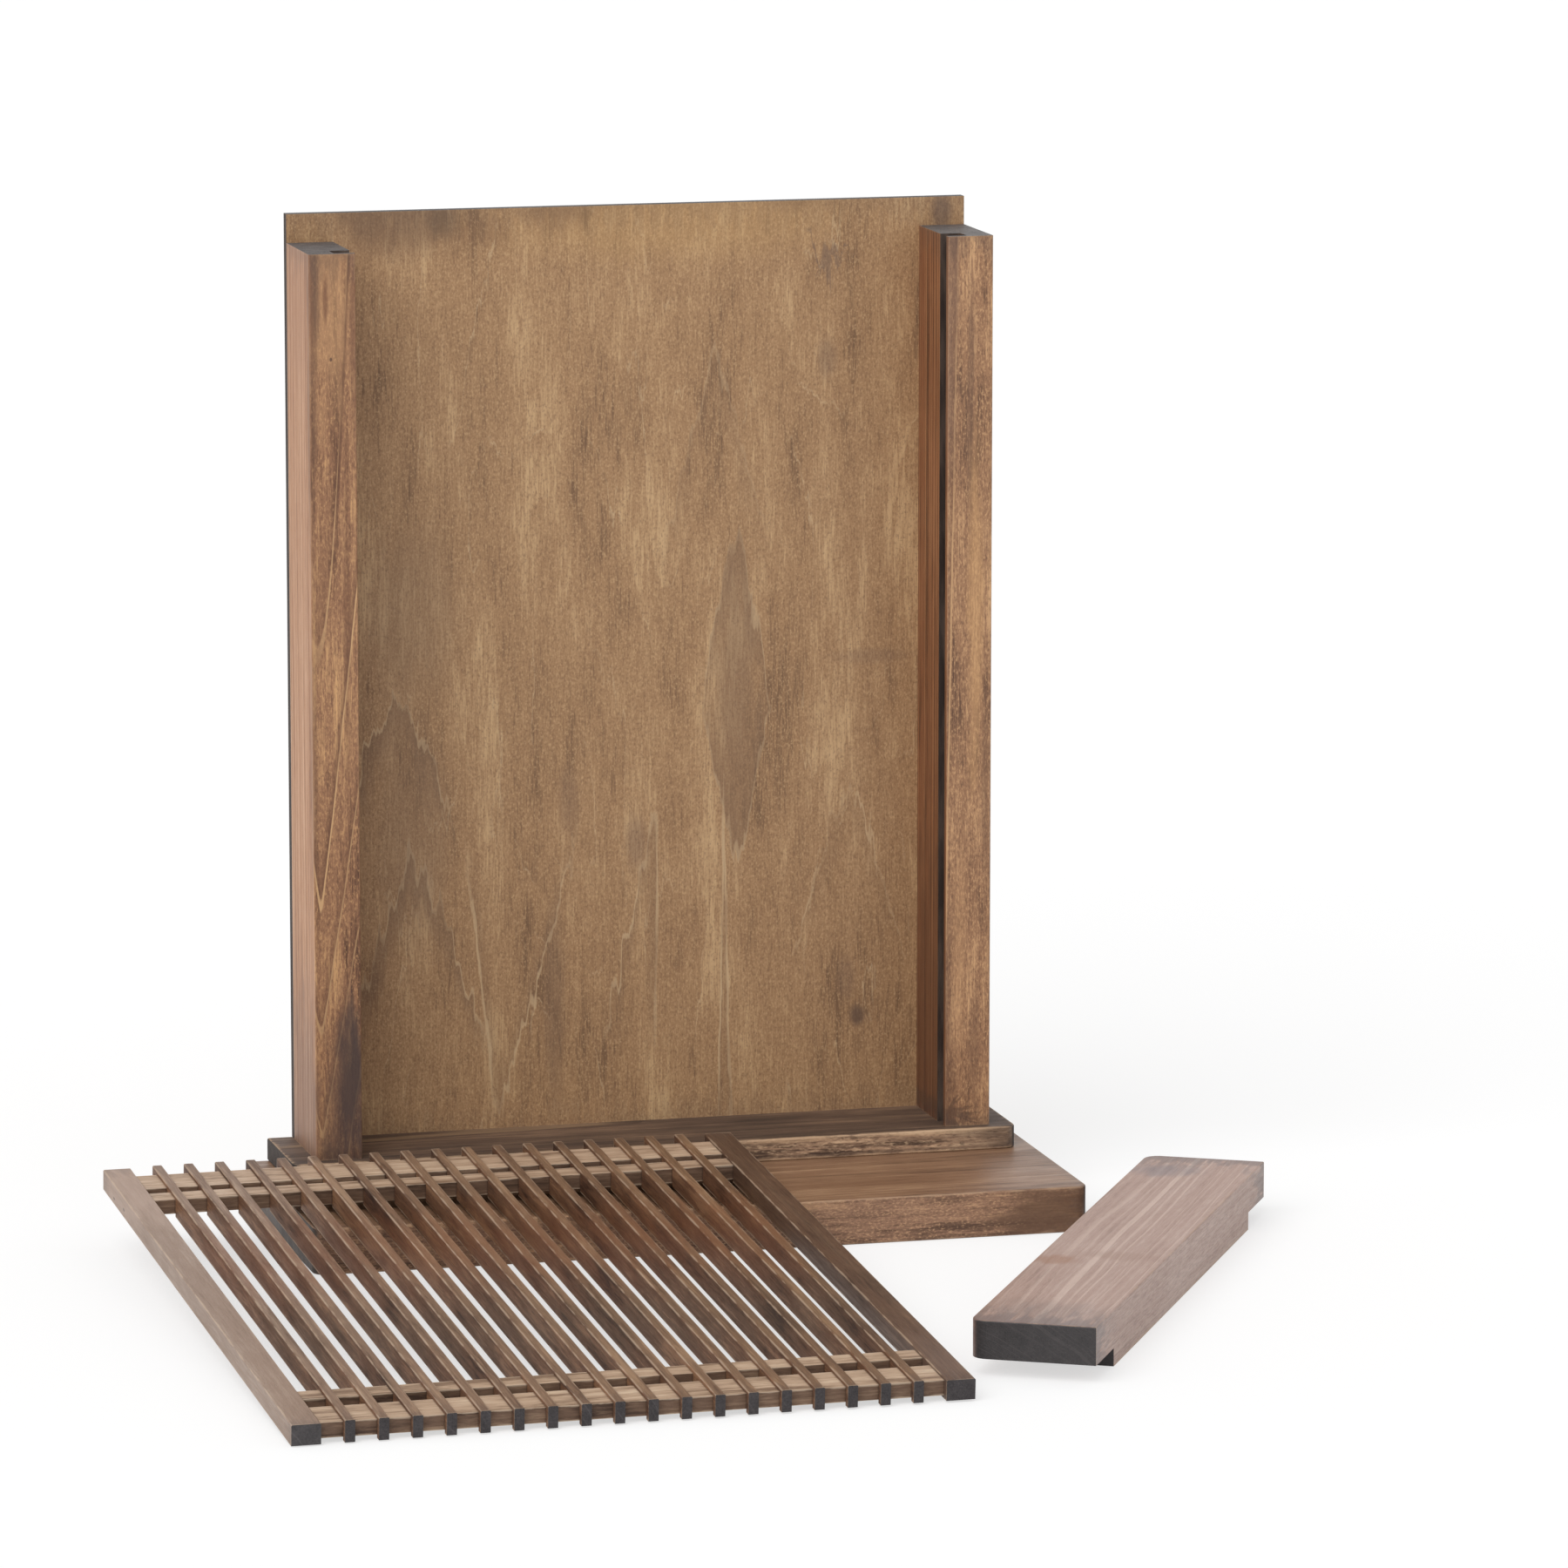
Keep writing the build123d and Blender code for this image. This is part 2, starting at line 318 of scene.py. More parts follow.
def makeArrisWearAndHighlight():
    # The first output is near 1 on the arrises of a box, where the edge is made pale, partly as rubbed wear
    # and
    # partly as a painted highlight: the middle one of a point's three distances to the faces is small only
    # beside an edge. Soaked fades inwards from the two ends of the grain
    own = wearAndHighlightValues
    takes = {"Vector": (0.0, 0.0, 0.0), "Half Size": (1.0, 1.0, 1.0), "Width": 0.5, "Soak": 12.0,
             "Seed": 0.0}
    gives = {"Wear And Highlight": "NodeSocketFloat", "Soaked": "NodeSocketFloat"}
    tree, given, out = newGroup("arrisWearAndHighlight", takes, gives)
    place = vectorMaths(tree, "ABSOLUTE", given["Vector"])
    a, b, c = parts(tree, vectorMaths(tree, "SUBTRACT", given["Half Size"], place))
    larger = maths(tree, "MAXIMUM", a, b)
    smaller = maths(tree, "MINIMUM", a, b)
    middle = maths(tree, "MAXIMUM", smaller, maths(tree, "MINIMUM", larger, c))
    moved = seeded(tree, given["Vector"], given["Seed"], own["stride"])
    patchy = ramp(tree, noise(tree, moved, *own["patchy"]), *own["patchySpan"], *own["patchyReach"])
    plug(tree, fade(tree, middle, 0.0, maths(tree, "MULTIPLY", given["Width"], patchy)), out["Wear And Highlight"])
    depth = maths(tree, "DIVIDE", a, maths(tree, "MULTIPLY", given["Soak"], patchy))
    plug(tree, fade(tree, depth, 0.0, 1.0), out["Soaked"])
    return tree


def makeJointShade():
    # The dark joint on both sides of each slat that crosses a rail, at an even pitch along the rail
    takes = {"Vector": (0.0, 0.0, 0.0), "Pitch": 10.0, "Half Slat": 1.5, "Width": 0.8}
    tree, given, out = newGroup("jointShade", takes, {"Mask": "NodeSocketFloat"})
    turns = maths(tree, "DIVIDE", parts(tree, given["Vector"])[0], given["Pitch"])
    phase = maths(tree, "SUBTRACT", maths(tree, "FRACT", turns), 0.5)
    fromSlat = maths(tree, "MULTIPLY", maths(tree, "ABSOLUTE", phase), given["Pitch"])
    outside = maths(tree, "SUBTRACT", fromSlat, given["Half Slat"])
    plug(tree, fade(tree, outside, 0.0, given["Width"]), out["Mask"])
    return tree


def makeRecess():
    # 1 inside a box, such as a groove ploughed in a post, fading over the soft width at its sides
    takes = {"Vector": (0.0, 0.0, 0.0), "Centre": (0.0, 0.0, 0.0), "Half Size": (1.0, 1.0, 1.0), "Soft": 0.2}
    tree, given, out = newGroup("recess", takes, {"Mask": "NodeSocketFloat"})
    away = vectorMaths(tree, "ABSOLUTE", vectorMaths(tree, "SUBTRACT", given["Vector"], given["Centre"]))
    a, b, c = parts(tree, vectorMaths(tree, "SUBTRACT", given["Half Size"], away))
    least = maths(tree, "MINIMUM", maths(tree, "MINIMUM", a, b), c)
    plug(tree, ramp(tree, least, 0.0, given["Soft"]), out["Mask"])
    return tree


# The look's entries that a face may change, and the sockets of the stained tone that take them
toneSockets = {
    "deep": "Deep", "middle": "Middle", "pale": "Pale", "lineAmount": "Line Amount",
    "shadeAmount": "Shade Amount", "streakAmount": "Streak Amount", "strokeAmount": "Stroke Amount",
    "mottleAmount": "Mottle Amount", "cloudAmount": "Cloud Amount", "fleckAmount": "Fleck Amount",
    "poreAmount": "Pore Amount",
}
toneValues = {
    "level": 0.5, "strokeHeight": 0.6, "lineHeight": 0.5, "poreHeight": -0.5, "glossSpan": (0.1, 0.9),
    "glossShift": (0.06, -0.06),
}


def makeStainedTone():
    # Deep, middle and pale stain picked by the summed grain, then latewood lines, flecks and pores.
    # The sum starts at the middle level and takes each grain's swing about it times its amount
    own = toneValues
    level = own["level"]
    grain = {label: level for label in ("Shade", "Streak", "Stroke", "Mottle", "Cloud")}
    takes = {"Line": 0.0, "Fleck": 0.0, "Pore": 0.0, **grain, "Line Colour": (0.5, 0.35, 0.2, 1.0)}
    for socket in toneSockets.values():
        takes[socket] = 0.5 if socket.endswith("Amount") else (0.2, 0.14, 0.1, 1.0)
    gives = {"Color": "NodeSocketColor", "Height": "NodeSocketFloat", "Roughness Shift": "NodeSocketFloat"}
    tree, given, out = newGroup("stainedTone", takes, gives)
    total = level
    for label in grain:
        about = maths(tree, "SUBTRACT", given[label], level)
        total = maths(tree, "MULTIPLY_ADD", about, given[f"{label} Amount"], total)
    lower = mixColour(tree, ramp(tree, total, 0.0, level), given["Deep"], given["Middle"])
    colour = mixColour(tree, ramp(tree, total, level, 1.0), lower, given["Pale"])
    for label, tint in (("Line", "Line Colour"), ("Fleck", "Pale"), ("Pore", "Deep")):
        amount = maths(tree, "MULTIPLY", given[label], given[f"{label} Amount"])
        colour = mixColour(tree, amount, colour, given[tint])
    plug(tree, colour, out["Color"])
    height = maths(tree, "MULTIPLY", given["Line"], own["lineHeight"])
    height = maths(tree, "MULTIPLY_ADD", given["Stroke"], own["strokeHeight"], height)
    height = maths(tree, "MULTIPLY_ADD", given["Pore"], own["poreHeight"], height)
    plug(tree, height, out["Height"])
    plug(tree, ramp(tree, total, *own["glossSpan"], *own["glossShift"]), out["Roughness Shift"])
    return tree


growthRings = makeGrowthRings()
veneerFigure = makeVeneerFigure()
woodFibre = makeWoodFibre()
raggedPlace = makeRaggedPlace()
flameLine = makeFlameLine()
blotch = makeBlotch()
knot = makeKnot()
arrisWearAndHighlight = makeArrisWearAndHighlight()
jointShade = makeJointShade()
recess = makeRecess()
stainedTone = makeStainedTone()
print("shared effects ready")


# Where each piece is and which way its grain runs

sameWay = 0.94  # the cosine of about 20 degrees


def points(name):
    mesh = nodes[name].data
    flat = np.empty(len(mesh.vertices) * 3)
    mesh.vertices.foreach_get("co", flat)
    return flat.reshape(-1, 3)


def faceDirection(name, towards):
    # The mean unit normal of the faces of a node that look the same way as a direction
    mesh = nodes[name].data
    normals = np.array([p.normal for p in mesh.polygons])
    areas = np.array([p.area for p in mesh.polygons])
    near = normals @ np.array(Vector(towards).normalized()) > sameWay
    return Vector((normals[near] * areas[near, None]).sum(0)).normalized()


def pieceFrame(name, axes):
    # Centre and half size of a node in metres, measured along three axes
    turned = points(name) @ np.array([list(a) for a in axes]).T
    low, high = turned.min(0), turned.max(0)
    centre = sum((axes[i] * float((low[i] + high[i]) / 2) for i in range(3)), Vector())
    return centre, (high - low) / 2


xWay, yWay, zWay = Vector((1, 0, 0)), Vector((0, 1, 0)), Vector((0, 0, 1))
doorUp = faceDirection("door_left_stile", zWay)
doorAlong = faceDirection("door_left_stile", yWay)
doorAcross = doorAlong.cross(doorUp)
capSide = faceDirection("top_cap", (0.86, -0.5, 0))  # the cap's long back edge looks about this way
capAlong = zWay.cross(capSide)

# Three axes for each kind of piece: along the grain, across it, and through the thickness
uprightGrain = (zWay, xWay, yWay)
levelGrain = (xWay, yWay, zWay)
doorGrain = (doorAlong, -doorAcross, doorUp)
railGrain = (doorAcross, doorAlong, doorUp)
capGrain = (capAlong, -capSide, zWay)


# The stained wood

faceSpan = (0.6, 0.8)  # cosines between which a face's own look fades in
dustSpan = (0.35, 0.65)
endGrainValues = {"facingSpan": (0.55, 0.85), "rings": 0.5, "mottle": 0.8, "specks": 0.3, "rougher": 0.15}
surfaceValues = {"bumpDistance": 0.2 * millimetre, "refraction": 1.5}


def toneByFace(tree, normal, look):
    # The look's colours and amounts, changed on the faces that have their own
    values = {k: look[k] for k in (*toneSockets, "roughness")}
    for label in ("deep", "middle", "pale"):
        values[label] = stain(*look[label])
    masks = []
    for face in look["faces"]:
        towards = vectorMaths(tree, "DOT_PRODUCT", normal, face["way"])
        if face.get("bothSides"):
            towards = maths(tree, "ABSOLUTE", towards)
        mask = ramp(tree, towards, *faceSpan)
        masks.append(mask)
        for label in [k for k in values if k in face]:
            if isinstance(face[label], tuple):
                values[label] = mixColour(tree, mask, values[label], stain(*face[label]))
            else:
                values[label] = mixValue(tree, mask, values[label], face[label])
    return values, masks


def ringsOrVeneer(tree, place, look):
    if "veneerSteps" in look:
        return useGroup(tree, veneerFigure, {
            "Vector": place, "Steps": look["veneerSteps"], "Line Width": look["lineWidth"],
            "Seed": look["seed"]})
    return useGroup(tree, growthRings, {
        "Vector": vectorMaths(tree, "SUBTRACT", place, look["pith"]), "Seed": look["seed"],
        "Spacing": look["ringSpacing"], "Taper": look["ringTaper"], "Warp": look["ringWarp"],
        "Line Width": look["lineWidth"]})


def flame(tip, slope, **settings):
    # A flame of the grain: its tip (along, across), the slope of its arms, and how it is drawn
    return {"tip": tip, "slope": slope, "lean": 0.0, "bend": 0.4, "width": 0.3, "depth": 2.2,
            "reach": 400.0, "amount": 0.7, "shade": 0.5, **settings}


def drawFlames(tree, colour, ragged, mask, look):
    # Flames belong to the first of the look's own faces
    for line in look["flames"]:
        drawn = useGroup(tree, flameLine, {
            "Vector": ragged["Vector"], "Tip": (*line["tip"], 0.0), "Slope": line["slope"],
            "Lean": line["lean"], "Bend": line["bend"], "Width": line["width"], "Depth": line["depth"],
            "Reach": line["reach"]})
        shade = maths(tree, "MULTIPLY", maths(tree, "MULTIPLY", drawn["Shade"], mask), line["shade"])
        colour = mixColour(tree, shade, colour, stain(*look["flameShade"]))
        pale = maths(tree, "MULTIPLY", maths(tree, "MULTIPLY", drawn["Line"], ragged["Broken"]), mask)
        colour = mixColour(tree, maths(tree, "MULTIPLY", pale, line["amount"]), colour, stain(*look["line"]))
    return colour


def drawPatches(tree, colour, place, ragged, look):
    # Stain that pooled in patches, some patches painted shade, and knots
    push = maths(tree, "MULTIPLY", ragged["Push"], look["tear"])
    for centre, radii, amount, patchColour in look["patches"]:
        mask = useGroup(tree, blotch, {
            "Vector": place, "Centre": centre, "Radii": radii, "Push": push})["Mask"]
        colour = mixColour(tree, maths(tree, "MULTIPLY", mask, amount), colour, stain(*patchColour))
    for centre, radii, amount, knotColour in look["knots"]:
        mask = useGroup(tree, knot, {
            "Vector": ragged["Vector"], "Centre": centre, "Radii": radii, "Seed": look["seed"]})["Mask"]
        colour = mixColour(tree, maths(tree, "MULTIPLY", mask, amount), colour, stain(*knotColour))
    return colour


def drawWearAndHighlight(tree, colour, place, half, look):
    # Stain soaked into the ends of the grain, then arrises made pale, partly rubbed wear and partly a
    # painted highlight
    edges = useGroup(tree, arrisWearAndHighlight, {
        "Vector": place, "Half Size": tuple(half / millimetre), "Width": look["wearAndHighlightWidth"],
        "Soak": look["soak"], "Seed": look["seed"]})
    soaked = maths(tree, "MULTIPLY", edges["Soaked"], look["soakAmount"])
    colour = mixColour(tree, soaked, colour, stain(*look["soaked"]))
    wearAndHighlight = maths(tree, "MULTIPLY", edges["Wear And Highlight"], look["wearAndHighlightAmount"])
    return mixColour(tree, wearAndHighlight, colour, stain(*look["wearAndHighlight"]))


def drawHollows(tree, colour, place, fibre, look):
    # Grooves and joints keep old stain and dust; in the grooves the dark colour is also painted shade
    if "groove" in look:
        inside = useGroup(tree, recess, {"Vector": place, **look["groove"]})["Mask"]
        dust = ramp(tree, fibre["Mottle"], *dustSpan)
        dark = mixColour(tree, dust, stain(*look["grooveStainAndShadeDeep"]), stain(*look["grooveStainAndShadePale"]))
        colour = mixColour(tree, inside, colour, dark)
    if "joints" in look:
        joint = useGroup(tree, jointShade, {"Vector": place, **look["joints"]})["Mask"]
        joint = maths(tree, "MULTIPLY", joint, look["jointAmount"])
        colour = mixColour(tree, joint, colour, stain(*look["jointColour"]))
    return colour


def endGrainColour(tree, rings, fibre, look):
    # End grain drinks the stain and turns charcoal, with the rings and the pores still showing
    own = endGrainValues
    tone = maths(tree, "MULTIPLY", fibre["Mottle"], own["mottle"])
    tone = maths(tree, "MULTIPLY_ADD", rings["Line"], own["rings"], tone)
    specks = maths(tree, "SUBTRACT", fibre["Fleck"], fibre["Pore"])
    tone = maths(tree, "MULTIPLY_ADD", specks, own["specks"], tone)
    return mixColour(tree, tone, stain(*look["endDeep"]), stain(*look["endPale"]))


def woodMaterial(name, axes, look):
    # Stained wood for one node, drawn in millimetres from the node's centre with x along the grain
    centre, half = pieceFrame(name, axes)
    material = bpy.data.materials.new(f"{name}Wood")
    material.use_nodes = True
    tree = material.node_tree
    tree.nodes.clear()
    source = tree.nodes.new("ShaderNodeTexCoord").outputs
    turn = Matrix([list(a) for a in axes]).transposed().to_euler()
    place = addNode(tree, "ShaderNodeMapping", {
        "Vector": source["Object"], "Location": centre, "Rotation": turn, "Scale": (millimetre,) * 3,
    }, vector_type="TEXTURE").outputs[0]

    rings = ringsOrVeneer(tree, place, look)
    fibre = useGroup(tree, woodFibre, {
        "Vector": place, "Seed": look["seed"], "Fleck Length": look["fleckLength"]})
    ragged = useGroup(tree, raggedPlace, {"Vector": place, "Jag": look["jag"], "Seed": look["seed"]})
    values, masks = toneByFace(tree, source["Normal"], look)
    tone = useGroup(tree, stainedTone, {
        "Line": rings["Line"], "Shade": rings["Shade"], "Line Colour": stain(*look["line"]),
        **{label: fibre[label] for label in fibreOutputs},
        **{socket: values[label] for label, socket in toneSockets.items()}})
    colour = tone["Color"]
    if look["flames"]:
        colour = drawFlames(tree, colour, ragged, masks[0], look)
    colour = drawPatches(tree, colour, place, ragged, look)
    colour = drawWearAndHighlight(tree, colour, place, half, look)
    colour = drawHollows(tree, colour, place, fibre, look)

    facing = maths(tree, "ABSOLUTE", vectorMaths(tree, "DOT_PRODUCT", source["Normal"], axes[0]))
    ends = ramp(tree, facing, *endGrainValues["facingSpan"])
    colour = mixColour(tree, ends, colour, endGrainColour(tree, rings, fibre, look))
    roughness = maths(tree, "ADD", tone["Roughness Shift"], values["roughness"])
    roughness = maths(tree, "MULTIPLY_ADD", ends, endGrainValues["rougher"], roughness)
    bump = addNode(tree, "ShaderNodeBump", {
        "Height": tone["Height"], "Strength": look["bump"], "Distance": surfaceValues["bumpDistance"]})
    shader = addNode(tree, "ShaderNodeBsdfPrincipled", {
        "Base Color": colour, "Roughness": roughness, "Normal": bump.outputs[0],
        "IOR": surfaceValues["refraction"], "Specular IOR Level": look["shine"]})
    addNode(tree, "ShaderNodeOutputMaterial", {0: shader.outputs[0]})
    for slot in nodes[name].material_slots:
        slot.material = material


# The looks, each piece with a seed of its own. Colours are 0 to 255 screen values. Sizes and places
# are millimetres from the piece's centre, as (along the grain, across it, through the thickness).
# An entry under faces holds where the surface looks its way, and the flames are drawn on the first
# of them. A patch or a knot is its centre, its radii, how strong it is and its colour
commonLook = {
    "deep": (92, 64, 46), "middle": (139, 104, 80), "pale": (176, 140, 108), "line": (206, 170, 130),
    "flameShade": (100, 64, 44), "wearAndHighlight": (190, 158, 126), "soaked": (78, 66, 62), "endDeep": (44, 41, 42),
    "endPale": (92, 87, 86),
    "pith": (0.0, 0.0, -12.0), "ringSpacing": 3.2, "ringTaper": 0.02, "ringWarp": 5.0, "lineWidth": 0.22,
    "lineAmount": 0.4, "shadeAmount": 0.3, "streakAmount": 1.2, "strokeAmount": 0.8, "mottleAmount": 1.0,
    "cloudAmount": 1.2, "fleckAmount": 0.12, "poreAmount": 0.15, "fleckLength": 1.6,
    "jag": (6.0, 0.8, 0.0), "tear": 1.1, "wearAndHighlightWidth": 0.6, "wearAndHighlightAmount": 0.5, "soak": 10.0,
    "soakAmount": 0.3, "roughness": 0.42, "shine": 0.5, "bump": 0.3,
    "faces": [], "flames": [], "patches": [], "knots": [],
}

lowerBoard = {
    **commonLook, "seed": 3.0, "pith": (0.0, 30.0, -70.0), "ringSpacing": 4.2, "lineAmount": 0.25,
    "middle": (140, 106, 81), "pale": (176, 141, 111), "wearAndHighlightWidth": 0.9, "mottleAmount": 0.8,
    "streakAmount": 0.8, "fleckLength": 0.9, "endDeep": (52, 43, 38), "endPale": (92, 77, 67),
    "roughness": 0.44,
    "faces": [
        {"way": (0.0, -1.0, 0.0), "deep": (84, 58, 42), "middle": (150, 113, 88), "pale": (218, 174, 132),
         "fleckAmount": 0.5, "poreAmount": 0.45, "shadeAmount": 0.1, "lineAmount": 0.1,
         "mottleAmount": 1.0, "streakAmount": 0.9, "roughness": 0.55},
    ],
    "patches": [
        ((112.0, -51.0, 0.0), (26.0, 9.0, 14.0), 0.85, (98, 69, 49)),
        ((112.0, -8.0, 7.0), (26.0, 30.0, 8.0), 0.35, (104, 76, 58)),
        ((20.0, -51.0, 5.6), (34.0, 2.0, 2.6), 0.45, (206, 162, 122)),
        ((60.0, -30.0, 7.0), (50.0, 9.0, 3.0), 0.3, (112, 78, 54)),
    ],
}
woodMaterial("lower_board", levelGrain, lowerBoard)

upperBoard = {
    **commonLook, "seed": 5.0, "pith": (0.0, 20.0, -60.0), "deep": (58, 43, 34), "middle": (88, 68, 55),
    "pale": (124, 99, 80), "wearAndHighlightWidth": 1.3, "wearAndHighlightAmount": 0.55, "endDeep": (46, 40, 38),
    "endPale": (84, 75, 70), "roughness": 0.5,
    "faces": [
        {"way": (0.0, -1.0, 0.0), "deep": (76, 55, 42), "middle": (174, 140, 112), "pale": (228, 194, 158),
         "fleckAmount": 0.5, "poreAmount": 0.7, "streakAmount": 1.6, "mottleAmount": 1.5,
         "roughness": 0.6},
        {"way": (0.0, 0.0, 1.0), "roughness": 0.68},
        {"way": (1.0, 0.0, 0.0), "bothSides": True, "roughness": 0.8},
    ],
    "patches": [
        ((112.0, -14.0, 2.0), (24.0, 18.0, 12.0), 0.75, (74, 57, 46)),
        ((44.0, -21.0, 3.0), (22.0, 1.6, 1.7), 0.4, (214, 178, 140)),
        ((92.0, -21.0, 3.2), (24.0, 1.2, 1.5), 0.45, (210, 176, 140)),
        ((60.0, -21.0, -2.4), (60.0, 2.0, 1.0), 0.6, (72, 52, 40)),
        ((84.0, -21.0, 1.2), (20.0, 2.0, 0.7), 0.5, (84, 60, 46)),
    ],
}
woodMaterial("upper_board", levelGrain, upperBoard)

backPanel = {
    **commonLook, "seed": 7.0, "deep": (118, 87, 61), "middle": (168, 130, 92), "pale": (208, 172, 128),
    "line": (216, 186, 146), "veneerSteps": 11.0, "lineWidth": 0.045, "lineAmount": 0.55,
    "shadeAmount": 0.12, "streakAmount": 0.15, "strokeAmount": 0.9, "mottleAmount": 0.5,
    "cloudAmount": 1.3, "fleckAmount": 0.55, "poreAmount": 0.55, "fleckLength": 0.7, "roughness": 0.5,
    "bump": 0.2, "wearAndHighlightAmount": 0.1, "soakAmount": 0.15, "flameShade": (124, 95, 71),
    "jag": (30.0, 2.4, 0.0), "tear": 0.45,
    "faces": [
        {"way": (0.0, -1.0, 0.0)},
        {"way": (1.0, 0.0, 0.0), "bothSides": True, "deep": (50, 44, 41), "middle": (66, 59, 56),
         "pale": (84, 76, 72), "lineAmount": 0.0, "fleckAmount": 0.1, "roughness": 0.9},
        {"way": (0.0, 1.0, 0.0), "mottleAmount": 0.25, "cloudAmount": 0.9},
    ],
    "flames": [
        flame((39.0, 35.0), -0.17, bend=3.0, width=0.4, depth=5.0, reach=58.0, amount=0.4, shade=0.5),
        flame((-62.0, 35.0), 0.17, bend=3.0, width=0.4, depth=5.0, reach=58.0, amount=0.4, shade=0.5),
        flame((-140.0, -44.0), 0.2, lean=0.1, bend=1.0, width=0.6, depth=4.0, reach=95.0, amount=0.55,
              shade=0.3),
        flame((-60.0, -70.0), -0.32, bend=4.0, width=0.6, depth=7.0, reach=70.0, amount=0.45, shade=0.5),
        flame((-8.0, -76.0), -0.35, bend=5.0, width=0.5, depth=8.0, reach=44.0, amount=0.5, shade=0.5),
        flame((-44.0, 72.0), -0.3, bend=3.0, width=0.5, depth=6.0, reach=60.0, amount=0.5, shade=0.15),
        flame((96.0, 28.0), -0.22, bend=4.0, width=0.5, depth=6.0, reach=70.0, amount=0.2, shade=0.2),
        flame((-56.0, 31.0), -0.02, bend=0.2, width=0.45, depth=3.0, reach=120.0, amount=0.6, shade=0.3),
        flame((-52.0, 8.0), -0.1, lean=0.12, bend=1.5, width=0.5, depth=4.0, reach=80.0, amount=0.5,
              shade=0.35),
    ],
    "patches": [
        ((-10.0, 35.0, -2.0), (56.0, 9.0, 9.0), 0.5, (126, 97, 73)),
        ((-108.0, -25.0, -2.0), (44.0, 5.0, 9.0), 0.45, (126, 97, 74)),
        ((20.0, -70.0, -2.0), (40.0, 20.0, 9.0), 0.35, (132, 104, 78)),
        ((-52.0, -70.0, -2.0), (46.0, 16.0, 9.0), 0.35, (130, 102, 78)),
        ((-57.0, 2.0, -2.0), (14.0, 5.0, 9.0), 0.4, (118, 92, 76)),
        ((-42.0, -20.0, -2.0), (16.0, 5.0, 9.0), 0.3, (122, 96, 78)),
        ((97.0, 65.0, -2.0), (9.0, 4.5, 9.0), 0.4, (124, 99, 80)),
        ((0.5, 80.0, -2.0), (3.4, 18.0, 9.0), 0.28, (118, 92, 74)),
        ((146.0, -75.0, -2.0), (18.0, 28.0, 9.0), 0.6, (106, 78, 57)),
        ((144.0, -60.0, -2.0), (8.0, 7.0, 9.0), 0.4, (96, 76, 58)),
        ((142.5, 102.5, -2.0), (9.0, 5.0, 9.0), 0.6, (92, 72, 66)),
        ((144.0, 14.0, -2.0), (20.0, 80.0, 9.0), 0.22, (206, 164, 104)),
        ((147.0, -24.0, -2.0), (10.0, 16.0, 9.0), 0.4, (126, 92, 64)),
        ((140.0, -48.0, -2.0), (7.0, 12.0, 9.0), 0.3, (120, 86, 60)),
        ((150.0, 52.0, -2.0), (8.0, 12.0, 9.0), 0.25, (128, 94, 64)),
        ((-104.0, 71.0, -2.0), (10.0, 4.5, 9.0), 0.35, (120, 94, 76)),
        ((-116.5, 75.0, -2.0), (5.0, 3.6, 9.0), 0.75, (92, 70, 58)),
    ],
    "knots": [
        ((129.0, 65.0, -2.0), (5.0, 5.0, 9.0), 0.5, (104, 84, 74)),
    ],
}
woodMaterial("back_panel", uprightGrain, backPanel)

